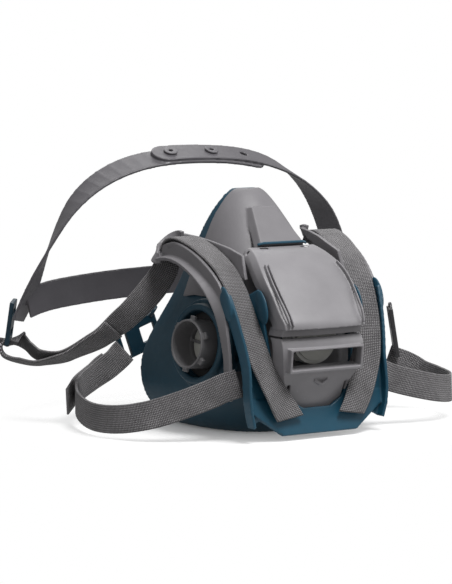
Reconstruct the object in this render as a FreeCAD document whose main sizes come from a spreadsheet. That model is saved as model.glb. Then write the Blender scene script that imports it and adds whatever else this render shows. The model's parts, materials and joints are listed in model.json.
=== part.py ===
import FreeCAD, Part
import math
import os
import Sketcher
from FreeCAD import Placement, Rotation, Vector

# Half-mask respirator with a latch front, a strap yoke and a head cradle.
# Millimetres, +Z up, the front of the mask towards -Y, the wearer's face towards +Y.
# "left" is the -X side. Pieces are laid out about the mask's own centre plane and then
# placed by MASK_PLACE, so that the origin is under the middle of the whole object.

DRIVING = [
    ("depth_shift", 14.2),
    ("floor_lift", 2.5),
    ("seal_wall", 3.0),
    ("seal_lip", 11.0),
    ("shell_wall", 2.2),
    ("shell_gap", 0.2),
    ("port_bore_radius", 13.0),
    ("port_tube_radius", 14.2),
    ("port_tube_length", 24.0),
    ("port_rim_out", 11.5),
    ("port_toe_angle", 7.0),
    ("port_lift_angle", 6.0),
    ("port_flange_radius", 19.0),
    ("lug_width", 4.0),
    ("lug_reach", 16.4),
    ("spoke_width", 1.6),
    ("hub_radius", 3.0),
    ("boss_radius", 23.6),
    ("collar_rise", 3.4),
    ("gasket_thick", 1.8),
    ("ring_radius", 18.0),
    ("ring_thick", 3.0),
    ("flap_thick", 0.8),
    ("port_seat_radius", 12.6),
    ("port_seat_depth", 13.4),
    ("intake_flap_radius", 12.0),
    ("exhaust_flap_radius", 13.0),
    ("seat_radius", 15.0),
    ("seat_bore_radius", 11.6),
    ("seat_length", 11.0),
    ("seat_height", 54.5),
    ("seat_front", -60.0),
    ("cover_wall", 2.0),
    ("pin_radius", 1.2),
    ("pin_running_gap", 0.05),
    ("pin_length", 44.0),
    ("hinge_depth", -27.6),
    ("hinge_height", 101.8),
    ("vent_width", 47.0),
    ("vent_height", 11.0),
    ("strap_width", 16.5),
    ("strap_thick", 1.4),
    ("yoke_wall", 2.0),
    ("yoke_flange", 5.5),
    ("tab_rise", 5.0),
    ("cradle_thick", 1.6),
    ("cradle_band", 18.0),
    ("crown_band", 17.5),
    ("stud_head_radius", 4.2),
    ("stud_foot_radius", 3.4),
    ("stud_shank_radius", 2.2),
    ("stud_bore_radius", 1.4),
    ("spare_hole_radius", 2.5),
    ("slider_width", 24.0),
    ("slider_length", 26.0),
    ("slider_thick", 2.6),
    ("slider_slot", 4.6),
    ("slot_length", 18.4),
    ("clip_length", 30.0),
    ("clip_width", 21.0),
    ("clip_thick", 2.8),
    ("clip_slot", 4.0),
    ("hook_hole", 10.0),
]

SHEET_NAME = "Sizes"
STRAP_STATIONS = 26
REAR_END = 62.0
HINGE_GROOVE = 4.8
BEVEL_OUT = 1.0
BEVEL_BACK = 7.0
LUG_WALL = 1.2
SIDES = (-1, 1)
STUD_X = (-33.0, -5.0)
SPARE_HOLE_X = 19.0

# The mask's outer surface, one row per height: height, front centre depth,
# half-width and depth of the front corner, half-width and depth of the side, half-width at the rear.
MASK_STATIONS = [
    (-2.5, -34.0, 20.0, -29.0, 34.0, -6.0, 34.0),
    (2.0, -41.0, 27.0, -35.0, 44.0, -3.0, 44.0),
    (12.0, -46.0, 32.5, -38.0, 49.5, -2.0, 56.0),
    (26.0, -48.5, 36.0, -40.0, 51.5, -4.0, 60.0),
    (38.0, -49.0, 37.5, -40.0, 50.5, -4.0, 58.5),
    (53.0, -47.0, 36.5, -37.5, 47.5, -4.0, 47.5),
    (70.0, -41.0, 33.5, -31.0, 42.0, 2.0, 36.0),
    (88.0, -30.5, 27.0, -21.0, 35.5, 10.0, 27.0),
    (106.0, -18.2, 19.5, -10.6, 28.0, 16.0, 24.0),
    (121.0, -6.4, 14.0, -0.4, 21.8, 20.0, 19.0),
    (131.0, 2.6, 10.0, 7.2, 15.8, 23.0, 14.0),
    (137.0, 11.0, 6.6, 14.2, 9.6, 26.0, 8.6),
]

# The face rim from the chin to the nose: height, depth.
RIM_PROFILE = [
    (-2.5, 31.0), (12.0, 38.5), (26.0, 42.6), (42.0, 44.2), (54.0, 43.2), (70.0, 38.0), (88.0, 30.4),
    (106.0, 24.6), (121.0, 20.6), (131.0, 18.0), (140.0, 16.0),
]

# Upper panel of the front, one row per height: height, front centre depth, half-width, corner depth.
PANEL_STATIONS = [
    (61.4, -74.0, 27.4, -71.5),
    (68.0, -71.0, 27.8, -68.0),
    (75.0, -65.9, 28.4, -63.1),
    (82.0, -60.6, 28.9, -58.2),
    (88.0, -55.3, 29.0, -52.9),
    (93.5, -49.6, 28.2, -47.2),
    (98.0, -43.6, 26.6, -41.2),
    (101.6, -37.4, 24.6, -34.8),
    (103.9, -31.0, 23.2, -29.0),
    (105.0, -26.0, 22.4, -25.2),
]

# Recessed band under the panel's lower edge, in the same form.
PANEL_FOOT_STATIONS = [
    (57.4, -70.0, 27.4, -67.4),
    (62.4, -71.2, 26.6, -68.6),
]

# Lower front housing with the vent, in the same form.
HOUSING_STATIONS = [
    (12.0, -58.6, 18.5, -57.2),
    (22.0, -62.2, 20.8, -60.4),
    (29.0, -65.2, 22.8, -63.0),
    (36.0, -68.8, 25.4, -66.8),
    (44.0, -71.2, 27.4, -69.2),
    (50.0, -71.8, 27.8, -69.4),
    (56.3, -69.2, 27.4, -66.6),
]

# Routes are lists of (point, width direction).
UPPER_FRONT_ROUTE = [
    ((-21.2, -67.2, 10.5), (1.0, 0.0, -0.2)),
    ((-26.2, -66.2, 19.0), (1.0, 0.0, -0.4)),
    ((-32.4, -63.4, 32.0), (1.0, 0.05, -0.35)),
    ((-37.4, -59.8, 45.0), (1.0, 0.12, -0.2)),
    ((-40.0, -55.2, 59.0), (1.0, 0.2, -0.1)),
    ((-41.6, -50.0, 71.0), (1.0, 0.25, 0.0)),
    ((-42.9, -43.0, 83.5), (1.0, 0.25, 0.0)),
    ((-44.4, -32.6, 95.0), (1.0, 0.2, 0.0)),
    ((-46.6, -18.0, 103.8), (1.0, 0.15, 0.0)),
    ((-48.6, -4.0, 109.0), (1.0, 0.1, 0.0)),
    ((-49.8, 6.0, 110.0), (1.0, 0.1, 0.0)),
    ((-50.4, 12.6, 107.2), (1.0, 0.1, 0.0)),
    ((-51.0, 16.4, 102.0), (1.0, 0.1, 0.1)),
]
UPPER_BACK_LEFT_ROUTE = [
    ((-51.6, 17.4, 97.5), (1.0, 0.0, -0.2)),
    ((-54.0, 18.5, 89.0), (0.95, -0.2, -0.4)),
    ((-62.4, 21.0, 77.0), (0.75, -0.3, -0.6)),
    ((-75.0, 27.0, 62.6), (0.62, 0.05, -0.72)),
    ((-86.5, 38.0, 49.6), (0.6, 0.55, -0.6)),
    ((-100.0, 54.0, 38.5), (0.5, 0.75, -0.4)),
    ((-110.5, 70.0, 33.8), (0.5, 0.85, -0.1)),
    ((-119.5, 79.5, 34.8), (0.53, 0.85, 0.0)),
    ((-127.0, 80.6, 39.6), (0.53, 0.85, 0.0)),
    ((-128.4, 78.8, 47.0), (0.53, 0.85, 0.0)),
]
UPPER_BACK_RIGHT_ROUTE = [
    ((51.8, 17.6, 97.0), (-1.0, 0.0, -0.2)),
    ((54.4, 19.4, 89.0), (-0.95, -0.2, -0.4)),
    ((62.0, 29.0, 76.0), (-0.8, 0.3, -0.5)),
    ((73.0, 43.0, 62.6), (-0.7, 0.5, -0.5)),
    ((86.0, 59.0, 49.6), (-0.6, 0.6, -0.5)),
    ((99.0, 74.0, 39.5), (-0.55, 0.75, -0.3)),
    ((110.5, 85.0, 35.0), (-0.5, 0.85, -0.1)),
    ((119.5, 91.0, 36.0), (-0.53, 0.85, 0.0)),
    ((127.0, 91.6, 40.2), (-0.53, 0.85, 0.0)),
    ((128.4, 89.8, 47.0), (-0.53, 0.85, 0.0)),
]
LOWER_LEFT_ROUTE = [
    ((-48.0, -55.0, 31.4), (0.0, 0.0, 1.0)),
    ((-55.0, -50.4, 28.6), (0.05, 0.0, 1.0)),
    ((-62.0, -46.4, 25.0), (0.1, 0.0, 1.0)),
    ((-76.0, -37.6, 18.6), (0.15, 0.05, 1.0)),
    ((-90.0, -27.0, 13.0), (0.1, 0.1, 1.0)),
    ((-101.0, -11.0, 9.2), (0.0, 0.1, 1.0)),
    ((-106.0, 8.0, 8.2), (0.0, 0.0, 1.0)),
    ((-104.0, 28.0, 9.6), (0.0, 0.0, 1.0)),
    ((-97.0, 48.0, 12.6), (0.0, 0.0, 1.0)),
    ((-85.0, 65.0, 16.6), (0.0, 0.0, 1.0)),
    ((-70.0, 73.5, 22.0), (0.0, 0.0, 1.0)),
    ((-57.0, 74.6, 29.0), (0.2, 0.0, 1.0)),
    ((-49.0, 74.2, 36.0), (0.5, 0.0, 1.0)),
]
LOWER_RIGHT_ROUTE = [
    ((48.0, -55.0, 31.4), (0.0, 0.0, 1.0)),
    ((55.0, -52.4, 28.4), (-0.05, 0.0, 1.0)),
    ((62.0, -52.0, 25.6), (-0.1, 0.0, 1.0)),
    ((77.0, -54.0, 21.4), (-0.1, 0.05, 1.0)),
    ((94.0, -53.0, 17.6), (-0.05, 0.1, 1.0)),
    ((107.5, -46.5, 15.8), (0.0, 0.1, 1.0)),
    ((115.5, -35.5, 16.0), (0.0, 0.0, 1.0)),
    ((117.0, -22.0, 17.8), (-0.1, 0.0, 1.0)),
    ((112.5, -10.5, 20.6), (-0.15, 0.1, 1.0)),
    ((105.2, -4.6, 24.6), (-0.2, 0.2, 1.0)),
]
REAR_BAND_ROUTE = [
    ((-119.4, 66.0, 69.5), (0.0, 0.0, 1.0)),
    ((-108.0, 70.0, 72.0), (0.0, 0.0, 1.0)),
    ((-86.0, 77.0, 74.0), (0.0, 0.0, 1.0)),
    ((-60.0, 82.0, 75.5), (0.0, 0.0, 1.0)),
    ((-30.0, 85.5, 76.5), (0.0, 0.0, 1.0)),
    ((0.0, 87.0, 77.0), (0.0, 0.0, 1.0)),
    ((35.0, 87.5, 77.0), (0.0, 0.0, 1.0)),
    ((70.0, 86.0, 75.0), (0.0, 0.0, 1.0)),
    ((100.0, 82.5, 72.0), (0.0, 0.0, 1.0)),
    ((116.0, 79.0, 69.5), (0.0, 0.0, 1.0)),
]
LEFT_CROWN_ROUTE = [
    ((-123.2, 71.6, 59.0), (0.75, 0.6, 0.0)),
    ((-119.4, 68.0, 70.0), (0.8, 0.55, 0.0)),
    ((-116.2, 62.0, 84.0), (0.75, 0.6, 0.1)),
    ((-112.2, 57.0, 98.0), (0.6, 0.75, 0.2)),
    ((-106.4, 53.0, 112.5), (0.45, 0.85, 0.3)),
    ((-96.0, 50.5, 129.0), (0.3, 0.9, 0.4)),
    ((-80.5, 48.5, 142.0), (0.15, 0.9, 0.4)),
    ((-64.5, 47.0, 149.4), (0.05, 0.9, 0.42)),
    ((-45.0, 46.0, 153.8), (0.0, 0.9, 0.42)),
    ((-20.0, 45.0, 155.2), (0.0, 0.9, 0.42)),
    ((4.0, 45.0, 154.2), (0.0, 0.9, 0.42)),
    ((15.0, 45.6, 152.8), (0.0, 0.9, 0.42)),
    ((24.0, 46.2, 151.2), (0.0, 0.9, 0.42)),
]
RIGHT_CROWN_ROUTE = [
    ((119.6, 86.0, 59.0), (-0.5, 0.85, 0.0)),
    ((115.2, 80.0, 70.0), (-0.5, 0.85, 0.0)),
    ((108.6, 74.5, 85.0), (-0.5, 0.85, 0.1)),
    ((99.0, 68.0, 101.0), (-0.5, 0.85, 0.1)),
    ((88.0, 62.0, 117.0), (-0.45, 0.85, 0.15)),
    ((72.5, 56.5, 132.6), (-0.3, 0.9, 0.3)),
    ((53.5, 51.5, 144.6), (-0.15, 0.9, 0.4)),
    ((37.5, 48.0, 150.6), (0.0, 0.9, 0.42)),
    ((20.5, 46.0, 154.6), (0.0, 0.9, 0.42)),
    ((2.0, 45.0, 156.6), (0.0, 0.9, 0.42)),
    ((-22.0, 45.0, 157.4), (0.0, 0.9, 0.42)),
    ((-36.6, 45.6, 156.9), (0.0, 0.9, 0.42)),
]

# The guide arm: the floor under the strap, the rim rail that curves down to the lower bracket,
# the outer side wall between them, and the end bar that the strap turns down inside.
ARM_ROUTE = [
    ((-42.6, -39.6, 82.0), (1.0, 0.25, 0.0)),
    ((-44.2, -30.0, 93.0), (1.0, 0.2, 0.0)),
    ((-46.2, -16.4, 101.8), (1.0, 0.15, 0.0)),
    ((-48.2, -3.4, 106.4), (1.0, 0.1, 0.0)),
    ((-49.4, 5.0, 106.6), (1.0, 0.1, 0.0)),
    ((-49.8, 8.4, 105.4), (1.0, 0.1, 0.0)),
]
RAIL_ROUTE = [
    ((-59.2, 14.0, 97.4), (1.0, 0.0, 0.3)),
    ((-58.6, 2.0, 98.8), (1.0, 0.0, 0.25)),
    ((-57.8, -12.0, 96.0), (1.0, -0.1, 0.2)),
    ((-56.6, -26.0, 89.2), (1.0, -0.3, 0.2)),
    ((-55.2, -38.0, 79.6), (0.8, -0.6, 0.2)),
    ((-54.3, -45.5, 68.5), (0.4, -0.9, 0.1)),
    ((-53.6, -48.8, 56.0), (0.1, -1.0, 0.0)),
    ((-52.4, -49.6, 44.0), (0.0, -1.0, 0.0)),
    ((-52.0, -49.4, 36.6), (0.0, -1.0, 0.0)),
]
WALL_ROUTE = [
    ((-57.4, 13.6, 101.0), (0.0, 0.2, 1.0)),
    ((-57.0, 2.0, 103.2), (0.0, 0.0, 1.0)),
    ((-56.0, -12.0, 100.8), (0.0, -0.2, 1.0)),
    ((-54.6, -26.0, 94.2), (0.0, -0.5, 1.0)),
    ((-53.0, -38.0, 85.0), (0.0, -0.8, 1.0)),
    ((-52.6, -44.4, 76.0), (0.0, -1.0, 0.6)),
]
END_BAR_ROUTE = [
    ((-44.0, 14.0, 109.6), (0.0, 0.6, 1.0)),
    ((-45.6, 20.6, 109.0), (0.2, 0.4, 1.0)),
    ((-51.0, 22.6, 104.8), (0.6, 0.2, 1.0)),
    ((-57.0, 21.4, 99.8), (0.6, 0.0, 1.0)),
    ((-60.4, 17.0, 97.6), (0.6, -0.4, 1.0)),
    ((-60.0, 11.5, 98.0), (0.4, -0.2, 1.0)),
]
SHOULDER_TOP = [
    (42.6, 17.0, 111.4), (40.8, 4.0, 110.4), (38.6, -9.0, 108.4), (35.6, -23.0, 105.4), (34.4, -36.0, 101.8),
]
SHOULDER_FOOT = [
    (42.6, 9.0, 106.6), (40.4, 2.0, 104.6), (38.4, -12.0, 101.0), (36.6, -27.0, 93.0), (35.4, -41.4, 88.0),
]
RAIL_WIDTH = 6.6
RAIL_THICK = 2.2
WALL_HEIGHT = 8.4
END_BAR_HEIGHT = 6.5

# Floor of the strap channel up each side of the yoke.
YOKE_ROUTE = [
    ((-31.4, -61.0, 13.0), (1.0, 0.0, -0.05)),
    ((-34.8, -60.6, 22.0), (1.0, 0.02, -0.1)),
    ((-37.2, -58.2, 38.0), (1.0, 0.1, -0.1)),
    ((-39.9, -54.0, 54.0), (1.0, 0.18, -0.05)),
    ((-42.1, -48.8, 68.0), (1.0, 0.24, 0.0)),
    ((-43.5, -43.8, 79.0), (1.0, 0.25, 0.0)),
]
YOKE_WIDTHS = [31.0, 25.6, 21.8, 21.0, 20.9, 20.6]


def make_sheet(doc):
    """Spreadsheet that holds the driving dimensions as named cells."""
    sheet = doc.addObject("Spreadsheet::Sheet", SHEET_NAME)
    for row, (name, value) in enumerate(DRIVING, start=1):
        sheet.set("A%d" % row, name)
        sheet.set("B%d" % row, str(value))
        sheet.setAlias("B%d" % row, name)
    doc.recompute()
    return sheet


def mirrored_route(route):
    """The same route on the other side of the centre plane."""
    flipped = []
    for point, across in route:
        flipped.append(((-point[0], point[1], point[2]), (-across[0], across[1], across[2])))
    return flipped


def route_frames(route, count):
    """Evenly spaced points along a smooth route, each with its width and face directions."""
    curve = Part.BSplineCurve()
    curve.interpolate([Vector(*point) for point, across in route])
    last = len(route) - 1
    knots = [curve.parameter(Vector(*point)) for point, across in route]
    frames = []
    for step in range(count + 1):
        value = curve.FirstParameter + (curve.LastParameter - curve.FirstParameter) * step / count
        span = 0
        while span < last - 1 and value > knots[span + 1]:
            span += 1
        share = (value - knots[span]) / (knots[span + 1] - knots[span])
        across = Vector(*route[span][1]) * (1.0 - share) + Vector(*route[span + 1][1]) * share
        along = Vector(*curve.tangent(value)[0])
        across = across - along * across.dot(along)
        across.normalize()
        frames.append((curve.value(value), across, across.cross(along)))
    return frames


def closed_polygon(points):
    return Part.makePolygon(list(points) + [points[0]])


def ribbon(route, width, thick, count=STRAP_STATIONS):
    """A flat band of constant thickness along a route."""
    sections = []
    for centre, across, face in route_frames(route, count):
        side = across * (width / 2.0)
        depth = face * (thick / 2.0)
        corners = [centre - side - depth, centre + side - depth, centre + side + depth, centre - side + depth]
        sections.append(closed_polygon(corners))
    return Part.makeLoft(sections, True, True)


def mask_wire(station, grow):
    """One horizontal outline of the mask, open side to the rear, grown outwards by grow."""
    height, front, corner_half, corner_depth, side_half, side_depth, rear_half = station
    points = [
        Vector(-rear_half - grow, REAR_END, height),
        Vector(-side_half - grow, side_depth, height),
        Vector(-corner_half - grow * 0.75, corner_depth - grow * 0.75, height),
        Vector(0.0, front - grow, height),
        Vector(corner_half + grow * 0.75, corner_depth - grow * 0.75, height),
        Vector(side_half + grow, side_depth, height),
        Vector(rear_half + grow, REAR_END, height),
    ]
    curve = Part.BSplineCurve()
    curve.interpolate(points)
    closing = Part.LineSegment(points[-1], points[0])
    return Part.Wire([curve.toShape(), closing.toShape()])


def mask_loft(grow, floor, ceiling):
    """The mask's bulk between two heights, as a smooth closed solid."""
    wires = []
    for station in MASK_STATIONS:
        if floor <= station[0] <= ceiling:
            wires.append(mask_wire(station, grow))
    return Part.makeLoft(wires, True, False)


def profile_slab(points, half_width):
    """A side profile in the YZ plane, extruded across the mask."""
    outline = closed_polygon([Vector(-half_width, depth, height) for depth, height in points])
    return Part.Face(outline).extrude(Vector(2.0 * half_width, 0, 0))


def rim_slab(setback):
    """Everything in front of the face rim, set back by a distance."""
    rim = [Vector(-90.0, depth - setback, height) for height, depth in RIM_PROFILE]
    curve = Part.BSplineCurve()
    curve.interpolate(rim)
    front_top = Vector(-90.0, -95.0, rim[-1].z)
    front_bottom = Vector(-90.0, -95.0, rim[0].z)
    sides = [
        curve.toShape(),
        Part.LineSegment(rim[-1], front_top).toShape(),
        Part.LineSegment(front_top, front_bottom).toShape(),
        Part.LineSegment(front_bottom, rim[0]).toShape(),
    ]
    return Part.Face(Part.Wire(sides)).extrude(Vector(180.0, 0, 0))


def port_place(sheet, side, distance=0.0):
    """Placement of a port: local +Z points out of the port, its rim at local zero."""
    toe = math.radians(sheet.port_toe_angle)
    lift = math.radians(sheet.port_lift_angle)
    level = math.cos(lift)
    outward = Vector(side * math.cos(toe) * level, -math.sin(toe) * level, math.sin(lift))
    centre = Vector(side * 61.8, -19.6, 51.0) + outward * distance
    return Placement(centre, Rotation(Vector(0, 0, 1), outward))


def tube(outer, inner, length):
    ring = Part.makeCylinder(outer, length)
    return ring.cut(Part.makeCylinder(inner, length))


def face_seal_shape(sheet):
    """Soft cup: outer skin, hollow, inturned face lip, port bosses and valve hole."""
    wall = sheet.seal_wall
    cup = mask_loft(0.0, -2.5, 137.0).common(rim_slab(0.0))
    hollow = mask_loft(-wall, 2.0, 131.0).common(rim_slab(wall))
    mouth = mask_loft(-sheet.seal_lip, 12.0, 121.0)
    mouth = mouth.common(Part.makeBox(200, 80, 200, Vector(-100, 0, 0)))
    cup = cup.cut(hollow).cut(mouth)
    boss_floor = sheet.port_tube_length - sheet.ring_thick - 0.1
    for side in SIDES:
        boss = Part.makeCylinder(sheet.boss_radius, boss_floor - sheet.port_rim_out)
        boss.Placement = port_place(sheet, side, -boss_floor)
        recess = Part.makeCylinder(sheet.port_flange_radius + 0.3, 20.0)
        recess.Placement = port_place(sheet, side, -sheet.port_rim_out - 6.0)
        hole = Part.makeCylinder(sheet.port_tube_radius + 0.1, 34.0)
        hole.Placement = port_place(sheet, side, -30.0)
        pocket = Part.makeCylinder(sheet.ring_radius + 0.3, 12.0)
        pocket.Placement = port_place(sheet, side, -boss_floor - 12.0)
        collar = tube(sheet.boss_radius - 0.2, sheet.port_flange_radius + 0.6, sheet.collar_rise + 1.0)
        collar.Placement = port_place(sheet, side, -sheet.port_rim_out - 1.0)
        cup = cup.fuse(boss).cut(recess).cut(hole).cut(pocket).fuse(collar)
    return cup.cut(valve_hole(sheet, 1.0))


def valve_hole(sheet, gap):
    """Round hole through the front for the exhaust valve seat."""
    start = Vector(0, sheet.seat_front - 8.0, sheet.seat_height)
    return Part.makeCylinder(sheet.seat_radius + gap, 40.0, start, Vector(0, 1, 0))


def hinge_cylinder(sheet, radius, start_x, length):
    """Cylinder on the latch hinge axis."""
    return Part.makeCylinder(radius, length, Vector(start_x, sheet.hinge_depth, sheet.hinge_height), Vector(1, 0, 0))


def nose_panel(sheet):
    """Raised trapezoid on the nose: bevelled sides and top, lower edge left square."""
    top = [
        Vector(-15.0, -26.4, 106.4), Vector(15.0, -26.4, 106.4), Vector(8.2, -5.6, 127.0), Vector(-8.2, -5.6, 127.0),
    ]
    inward = Vector(0, 0.71, -0.704) * 5.0
    slope = Vector(0, 0.704, 0.71)
    base = [
        top[0] + inward + Vector(-2.4, 0, 0), top[1] + inward + Vector(2.4, 0, 0),
        top[2] + inward + Vector(2.0, 0, 0) + slope * 3.0, top[3] + inward + Vector(-2.0, 0, 0) + slope * 3.0,
    ]
    raised = Part.makeLoft([closed_polygon(base), closed_polygon(top)], True, True)
    return raised.cut(mask_loft(sheet.shell_gap + 1.0, 70.0, 137.0))


def front_shell_shape(sheet):
    """Hard skin over the nose and front of the seal, with lugs for the latch pin."""
    outer = mask_loft(sheet.shell_gap + sheet.shell_wall, 12.0, 137.0)
    inner = mask_loft(sheet.shell_gap, 2.0, 137.0)
    outline = [
        (-90, 14), (-90, 150), (12.5, 150), (12.5, 134), (13.0, 110), (14.6, 94), (16.6, 74.0), (4.0, 76.0),
        (-8.0, 76.0), (-22.0, 76.5), (-38.0, 70.0), (-43.2, 52.0), (-43.2, 14),
    ]
    shape = outer.cut(inner).common(profile_slab(outline, 90.0))
    shape = shape.fuse(nose_panel(sheet))
    shape = shape.cut(hinge_cylinder(sheet, HINGE_GROOVE, -26.0, 52.0))
    lug_radius = sheet.pin_radius + LUG_WALL
    for side in SIDES:
        start_x = side * 14.0 - 2.0
        lug = hinge_cylinder(sheet, lug_radius, start_x, 4.0)
        post = Part.makeBox(4.0, 2.0 * lug_radius, 10.0)
        post.translate(Vector(start_x, sheet.hinge_depth - lug_radius, sheet.hinge_height - 10.0))
        shape = shape.fuse(lug.fuse(post).cut(inner))
    shape = shape.cut(hinge_cylinder(sheet, sheet.pin_radius, -40.0, 80.0))
    return shape.cut(valve_hole(sheet, 0.2))


def front_wire(station, inset, back_offset, flare):
    """One horizontal outline of the panel or housing: bowed front, bevelled corners, sides swept back."""
    height, front, half, corner = station
    half = half - inset
    bevel_half = half + flare + BEVEL_OUT
    points = [
        Vector(-half, corner + inset, height),
        Vector(0.0, front + inset, height),
        Vector(half, corner + inset, height),
        Vector(bevel_half, corner + BEVEL_BACK, height),
        Vector(bevel_half, corner + back_offset, height),
        Vector(-bevel_half, corner + back_offset, height),
        Vector(-bevel_half, corner + BEVEL_BACK, height),
    ]
    edges = [Part.Arc(*points[:3]).toShape()]
    for start, end in zip(points[2:], points[3:] + points[:1]):
        edges.append(Part.LineSegment(start, end).toShape())
    return Part.Wire(edges)


def front_loft(stations, inset, back_offset, ruled, flare):
    wires = [front_wire(station, inset, back_offset, flare) for station in stations]
    return Part.makeLoft(wires, True, ruled)


def latch_cover_shape(sheet):
    """Front panel that swings up about its top edge, with corner ribs and two hinge ears."""
    wall = sheet.cover_wall
    shape = front_loft(PANEL_STATIONS, 0.0, 13.0, False, 0.0)
    shape = shape.fuse(front_loft(PANEL_FOOT_STATIONS, 0.0, 13.0, False, 0.0))
    shape = shape.cut(front_loft(PANEL_STATIONS, wall, 22.0, False, 0.0))
    shape = shape.cut(front_loft(PANEL_FOOT_STATIONS, wall, 22.0, False, 0.0))
    shape = shape.cut(mask_loft(sheet.shell_gap + sheet.shell_wall + 1.0, 53.0, 137.0))
    behind = Part.makeBox(80.0, 40.0, 80.0, Vector(-40.0, sheet.hinge_depth, 60.0))
    shape = shape.cut(behind.cut(hinge_cylinder(sheet, HINGE_GROOVE - 0.5, -40.0, 80.0)))
    for side in SIDES:
        shape = shape.cut(hinge_cylinder(sheet, sheet.pin_radius + LUG_WALL + 0.35, side * 14.0 - 2.6, 5.2))
    inside = front_loft(PANEL_STATIONS, wall * 0.5, 26.0, False, 0.0)
    for side in SIDES:
        start_x = side * 19.5 - 1.8
        ear = hinge_cylinder(sheet, sheet.pin_radius + 1.4, start_x, 3.6)
        web = Part.makeBox(3.6, 12.0, 5.2, Vector(start_x, sheet.hinge_depth - 12.0, sheet.hinge_height - 2.6))
        shape = shape.fuse(ear.fuse(web).common(inside))
    return shape.cut(hinge_cylinder(sheet, sheet.pin_radius + sheet.pin_running_gap, -40.0, 80.0))


def exhaust_housing_shape(sheet):
    """Fixed lower front with the exhaust vent, a sloped vent floor, slots and a chevron."""
    wall = sheet.cover_wall
    shape = front_loft(HOUSING_STATIONS, 0.0, 10.0, False, 0.0)
    hollow = front_loft(HOUSING_STATIONS, wall, 24.0, False, 0.0)
    shape = shape.cut(hollow).cut(mask_loft(sheet.shell_gap + sheet.shell_wall + 0.1, -2.5, 137.0))
    tilt = Rotation(Vector(1, 0, 0), 6)
    frame = Part.makeBox(sheet.vent_width + 2.8, 5.0, sheet.vent_height + 2.8)
    frame.Placement = Placement(Vector(-sheet.vent_width / 2 - 1.4, -72.6, 36.6), tilt)
    shape = shape.fuse(frame.cut(hollow))
    vent = Part.makeBox(sheet.vent_width, 16.0, sheet.vent_height)
    vent.Placement = Placement(Vector(-sheet.vent_width / 2, -76.6, 38.0), tilt)
    shape = shape.cut(vent)
    ramp = Part.makeBox(sheet.vent_width + 1.0, 6.4, 1.6)
    ramp.Placement = Placement(Vector(-sheet.vent_width / 2 - 0.5, -69.6, 36.6), Rotation(Vector(1, 0, 0), 20))
    shape = shape.fuse(ramp)
    for side in SIDES:
        shape = shape.cut(Part.makeBox(1.8, 14.0, 9.0, Vector(side * 19.6 - 0.9, -72.0, 20.0)))
    chevron = closed_polygon([
        Vector(-4.5, 0, 31.9), Vector(-4.5, 0, 30.2), Vector(0, 0, 27.8), Vector(4.5, 0, 30.2),
        Vector(4.5, 0, 31.9), Vector(0, 0, 29.6),
    ])
    mark = Part.Face(chevron).extrude(Vector(0, 4.0, 0))
    mark.translate(Vector(0, -67.6, 0))
    return shape.fuse(mark)


def yoke_arm(sheet, route, side):
    """One channel-section arm of the yoke, with a taller tab on the flange by the latch."""
    wall = sheet.yoke_wall
    steps = 12
    sections = []
    for step, (centre, across, face) in enumerate(route_frames(route, steps)):
        place = step / steps * (len(YOKE_WIDTHS) - 1)
        low = min(int(place), len(YOKE_WIDTHS) - 2)
        width = YOKE_WIDTHS[low] + (YOKE_WIDTHS[low + 1] - YOKE_WIDTHS[low]) * (place - low)
        outward = face if face.y < 0 else face * -1.0
        inward = across if across.x * side < 0 else across * -1.0
        half = inward * (width / 2.0)
        edge = inward * wall
        back = outward * -wall
        inner_share = max(0.05, (step - 4.0) / (steps - 4.0))
        outer_rise = outward * sheet.yoke_flange
        inner_rise = outward * ((sheet.yoke_flange + sheet.tab_rise) * inner_share)
        sections.append(closed_polygon([
            centre - half + back, centre + half + back, centre + half + inner_rise, centre + half - edge + inner_rise,
            centre + half - edge, centre - half + edge, centre - half + edge + outer_rise, centre - half + outer_rise,
        ]))
    return Part.makeLoft(sections, True, True)


def yoke_shape(sheet):
    """Wide U that carries the straps: a notched bottom plate and two channel arms."""
    front_line = [
        Vector(-46.0, 0, 15.0), Vector(-25.4, 0, 0.0), Vector(25.4, 0, 0.0), Vector(46.0, 0, 15.0),
        Vector(46.0, 0, 22.0), Vector(18.6, 0, 20.6), Vector(9.3, 0, 15.0), Vector(-9.3, 0, 15.0),
        Vector(-18.6, 0, 20.6), Vector(-46.0, 0, 22.0),
    ]
    plate = Part.Face(closed_polygon(front_line)).extrude(Vector(0, 3.0, 0))
    plate.Placement = Placement(Vector(0, -67.0, 0), Rotation(Vector(1, 0, 0), -15.0))
    plate.translate(Vector(0, 0, -plate.BoundBox.ZMin))
    shape = plate
    for side in SIDES:
        shape = shape.fuse(yoke_arm(sheet, side_route(YOKE_ROUTE, side), side))
    return shape


def side_route(route, side):
    """A left-side route as it is, or mirrored for the right side."""
    return route if side < 0 else mirrored_route(route)


def strip_between(upper, lower, thick, side):
    """Wall between two lines of points given for the right side, thickened along a direction."""
    shift = Vector(side * thick[0], thick[1], thick[2])
    sections = []
    for above, below in zip(upper, lower):
        top = Vector(side * above[0], above[1], above[2])
        foot = Vector(side * below[0], below[1], below[2])
        sections.append(closed_polygon([top, foot, foot + shift, top + shift]))
    return Part.makeLoft(sections, True, True)


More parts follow.
